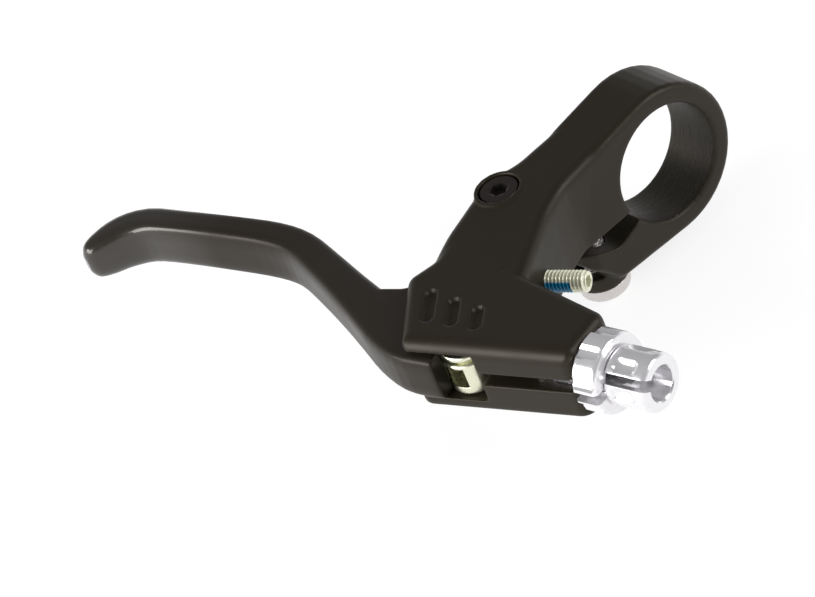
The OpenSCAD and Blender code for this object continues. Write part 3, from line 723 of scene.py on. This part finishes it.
class LEVER_OT_reach_screw(bpy.types.Operator):
    """Make the reach screw with its thread, its socket and the dry patch of thread locker"""

    bl_idname = "lever.reach_screw"
    bl_label = "Reach screw"

    def execute(self, context):
        fittings = context.scene.lever_fittings
        radius, cone, length, across = 2.0 * MM, 0.8 * MM, 13.0 * MM, 2.0 * MM
        pitch, depth, socket_end = 0.7 * MM, 0.42 * MM, length - 2.2 * MM
        shank = profile(
            [(0, radius - cone), (cone, radius), (length - 0.35 * MM, radius), (length, radius - 0.4 * MM)],
            pitch / 14,
        )
        head = [
            (length, across * 0.62), (length - 0.12 * MM, across / 2), (socket_end, across / 2),
            (socket_end, AXIS),
        ]
        past_tip = (0.3 * MM, math.inf)
        points, faces = socket_screw(shank, head, across, pitch, depth, thread_ends=past_tip)
        placed = on_joint(points, JOINTS["reach_turn"])
        made = add_mesh("reach_screw_threaded", placed, faces, points[:, 2])
        add_value(made, "locker", self.locker_patch(points))
        zinc = turned_metal("Screw zinc", fittings.screw_zinc, 0.3, lines=0.1, metallic=0.4)
        add_patch(zinc, fittings.locker, "locker")
        seat_piece(made, zinc, "screw", "screw_plating", "reach_screw")
        return {"FINISHED"}

    def locker_patch(self, points):
        """One on the lower front side up to a ragged end, zero elsewhere, with a short fade between"""
        fade, end, side = 0.3 * MM, 10.2 * MM, (0.73, -0.68)
        ragged = 0.25 * MM * np.sin(points[:, 1] / (0.31 * MM))
        patch = np.clip((end + ragged - points[:, 2]) / fade, 0, 1)
        return patch * np.clip((points[:, :2] @ side - 0.1 * MM) / fade, 0, 1)


class LEVER_OT_clamp_bolt(bpy.types.Operator):
    """Make the domed clamp bolt with its threaded shank"""

    bl_idname = "lever.clamp_bolt"
    bl_label = "Clamp bolt"

    def execute(self, context):
        low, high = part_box("clamp_bolt")
        centre = (low + high) / 2
        head_r = (high.x - low.x) / 2
        crown = 0.7 * MM  # the dome is this much fuller than in the CAD
        length = high.z - low.z + crown
        shank_r, head_h, rim, across = 2.5 * MM, 3.2 * MM + crown, 1.7 * MM, 3.0 * MM
        seat, tip, socket_end = length - head_h, 0.5 * MM, length - 1.8 * MM
        shank = profile([(0, shank_r - tip), (tip, shank_r), (seat, shank_r)], 0.07 * MM)
        steps = np.radians(np.linspace(90, 26, 22))
        dome = [(seat + rim + (head_h - rim) * math.cos(a), head_r * math.sin(a)) for a in steps]
        mouth = dome[-1][0]
        head = [
            (seat, head_r - 0.15 * MM), (seat + 0.15 * MM, head_r), *dome, (mouth, across * 0.60),
            (mouth - 0.2 * MM, across / 2), (socket_end, across / 2), (socket_end, AXIS),
        ]
        below_plain = (-math.inf, seat - 2 * MM)
        points, faces = socket_screw(
            shank, head, across, pitch=0.8 * MM, depth=0.45 * MM, thread_ends=below_plain,
        )
        hung = points * [1, -1, -1] + [centre.x, centre.y, high.z]
        made = add_mesh("clamp_bolt_domed", hung, faces, points[:, 2])
        colour = context.scene.lever_fittings.satin_steel
        steel = turned_metal("Satin steel", colour, 0.26, lines=0.2, metallic=0.8)
        seat_piece(made, steel, "bracket", "satin_steel", "clamp_bolt")
        return {"FINISHED"}


def background_rays(nodes, links):
    """Output that is one for rays from the camera, a mirror or a clear body, and zero for others."""
    path = nodes.new("ShaderNodeLightPath")
    first = nodes.new("ShaderNodeMath")
    first.operation = "MAXIMUM"
    second = nodes.new("ShaderNodeMath")
    second.operation = "MAXIMUM"
    links.new(path.outputs["Is Camera Ray"], first.inputs[0])
    links.new(path.outputs["Is Glossy Ray"], first.inputs[1])
    links.new(first.outputs["Value"], second.inputs[0])
    links.new(path.outputs["Is Transmission Ray"], second.inputs[1])
    return second.outputs["Value"], path


class LEVER_OT_studio(bpy.types.Operator):
    """Make the floor, the white backdrop, the lamps and the camera"""

    bl_idname = "lever.studio"
    bl_label = "Studio"

    def execute(self, context):
        studio = context.scene.lever_studio
        self.add_floor(studio)
        self.add_world(context.scene)
        centre = (CAD_LOW + CAD_HIGH) / 2
        lamps = {
            "Key lamp": ((-0.10, -0.80, 0.34), 0.95, 0.42, studio.key_power),
            "Side lamp": ((0.55, 0.45, 0.42), 0.45, 0.45, studio.fill_power),
        }
        for name, (away, wide, high, power) in lamps.items():
            self.add_lamp(name, centre, Vector(away), wide, high, power)
        self.add_camera(context.scene, studio)
        context.scene.view_settings.view_transform = "Standard"
        return {"FINISHED"}

    def add_floor(self, studio):
        """Pale floor just under the lever, white to the camera apart from the lever's shadow"""
        half, gap = 3.0, 0.2 * MM
        z = CAD_LOW.z - gap
        corners = [(-half, -half, z), (half, -half, z), (half, half, z), (-half, half, z)]
        mesh = bpy.data.meshes.new("floor")
        mesh.from_pydata(corners, [], [(0, 1, 2, 3)])
        floor = add_object("floor", mesh)
        material, tree, shader = new_material("Floor", studio.floor, 0.0, 0.9, specular=0.0)
        takes_shadow, glows = 0.24, 0.80
        seen = tree.nodes.new("ShaderNodeBsdfDiffuse")
        seen.inputs["Color"].default_value = (takes_shadow, takes_shadow, takes_shadow, 1)
        glow = tree.nodes.new("ShaderNodeEmission")
        glow.inputs["Strength"].default_value = glows
        both = tree.nodes.new("ShaderNodeAddShader")
        mix = tree.nodes.new("ShaderNodeMixShader")
        rays, _ = background_rays(tree.nodes, tree.links)
        tree.links.new(seen.outputs["BSDF"], both.inputs[0])
        tree.links.new(glow.outputs["Emission"], both.inputs[1])
        tree.links.new(rays, mix.inputs["Fac"])
        tree.links.new(shader.outputs["BSDF"], mix.inputs[1])
        tree.links.new(both.outputs["Shader"], mix.inputs[2])
        tree.links.new(mix.outputs["Shader"], tree.nodes["Material Output"].inputs["Surface"])
        floor.data.materials.append(material)

    def add_world(self, scene):
        """Even light, white to the camera; mirrors see it white near the horizon, dark overhead"""
        world = bpy.data.worlds.new("Studio")
        world.use_nodes = True
        tree = world.node_tree
        light = tree.nodes["Background"]
        light.inputs["Color"].default_value = (1, 1, 1, 1)
        light.inputs["Strength"].default_value = 0.55
        place = tree.nodes.new("ShaderNodeTexCoord")
        split = tree.nodes.new("ShaderNodeSeparateXYZ")
        ramp = tree.nodes.new("ShaderNodeValToRGB")
        near_horizon, overhead = ramp.color_ramp.elements
        near_horizon.position, near_horizon.color = 0.05, (1, 1, 1, 1)
        overhead.position, overhead.color = 0.36, (0.22, 0.22, 0.225, 1)
        tree.links.new(place.outputs["Generated"], split.inputs["Vector"])
        tree.links.new(split.outputs["Z"], ramp.inputs["Fac"])
        mirrored = tree.nodes.new("ShaderNodeBackground")
        tree.links.new(ramp.outputs["Color"], mirrored.inputs["Color"])
        plain = tree.nodes.new("ShaderNodeBackground")
        plain.inputs["Color"].default_value = (1, 1, 1, 1)
        rays, path = background_rays(tree.nodes, tree.links)
        shown = tree.nodes.new("ShaderNodeMixShader")
        tree.links.new(path.outputs["Is Camera Ray"], shown.inputs["Fac"])
        tree.links.new(mirrored.outputs["Background"], shown.inputs[1])
        tree.links.new(plain.outputs["Background"], shown.inputs[2])
        mix = tree.nodes.new("ShaderNodeMixShader")
        tree.links.new(rays, mix.inputs["Fac"])
        tree.links.new(light.outputs["Background"], mix.inputs[1])
        tree.links.new(shown.outputs["Shader"], mix.inputs[2])
        tree.links.new(mix.outputs["Shader"], tree.nodes["World Output"].inputs["Surface"])
        scene.world = world

    def add_lamp(self, name, centre, away, wide, high, power):
        """Oblong soft lamp that stands away from the centre and faces it"""
        data = bpy.data.lights.new(name, "AREA")
        data.shape = "RECTANGLE"
        data.size, data.size_y = wide, high
        data.energy = power
        lamp = add_object(name, data)
        lamp.location = centre + away
        lamp.rotation_euler = (-away).to_track_quat("-Z", "Y").to_euler()

    def add_camera(self, scene, studio):
        """Camera as in the photograph: right, up and back are the rows of its turn"""
        data = bpy.data.cameras.new("Camera")
        data.sensor_width = 36
        data.sensor_fit = "HORIZONTAL"
        data.lens = studio.lens
        data.clip_start, data.clip_end = 0.05, 20
        camera = add_object("Camera", data)
        right = Vector((0.63122677, 0.70786790, -0.31697919))
        back = Vector((0.70983879, -0.36256995, 0.60388072))
        up = back.cross(right)
        turn = Matrix((right, up, back)).transposed().to_4x4()
        camera.matrix_world = Matrix.Translation(studio.camera_place) @ turn
        scene.camera = camera


PIECES = (
    LEVER_OT_bracket, LEVER_OT_blade, LEVER_OT_pivot, LEVER_OT_anchor, LEVER_OT_barrel,
    LEVER_OT_lock_nut, LEVER_OT_reach_screw, LEVER_OT_clamp_bolt, LEVER_OT_studio,
)
SETTINGS = {
    "lever_casting": CastingSettings,
    "lever_fittings": FittingSettings,
    "lever_studio": StudioSettings,
}


class VIEW3D_PT_brake_lever(bpy.types.Panel):
    """Lists the lever's settings and the pieces that can be made"""

    bl_label = "Brake lever"
    bl_space_type = "VIEW_3D"
    bl_region_type = "UI"
    bl_category = "Brake lever"

    def draw(self, context):
        layout = self.layout
        for holder, kind in SETTINGS.items():
            box = layout.box()
            box.label(text=kind.__doc__)
            for name in kind.__annotations__:
                box.prop(getattr(context.scene, holder), name)
        for piece in PIECES:
            layout.operator(piece.bl_idname)


CLASSES = (*SETTINGS.values(), *PIECES, VIEW3D_PT_brake_lever)


def register():
    """Registers the classes and hangs the settings on the scene"""
    for kind in CLASSES:
        bpy.utils.register_class(kind)
    for holder, kind in SETTINGS.items():
        setattr(bpy.types.Scene, holder, PointerProperty(type=kind))


def unregister():
    """Takes the settings and the classes away again"""
    for holder in SETTINGS:
        delattr(bpy.types.Scene, holder)
    for kind in reversed(CLASSES):
        bpy.utils.unregister_class(kind)


def main():
    """Registers the add-on and makes every piece and the studio"""
    register()
    for piece in PIECES:
        group, name = piece.bl_idname.split(".")
        getattr(getattr(bpy.ops, group), name)()


if __name__ == "__main__":
    main()
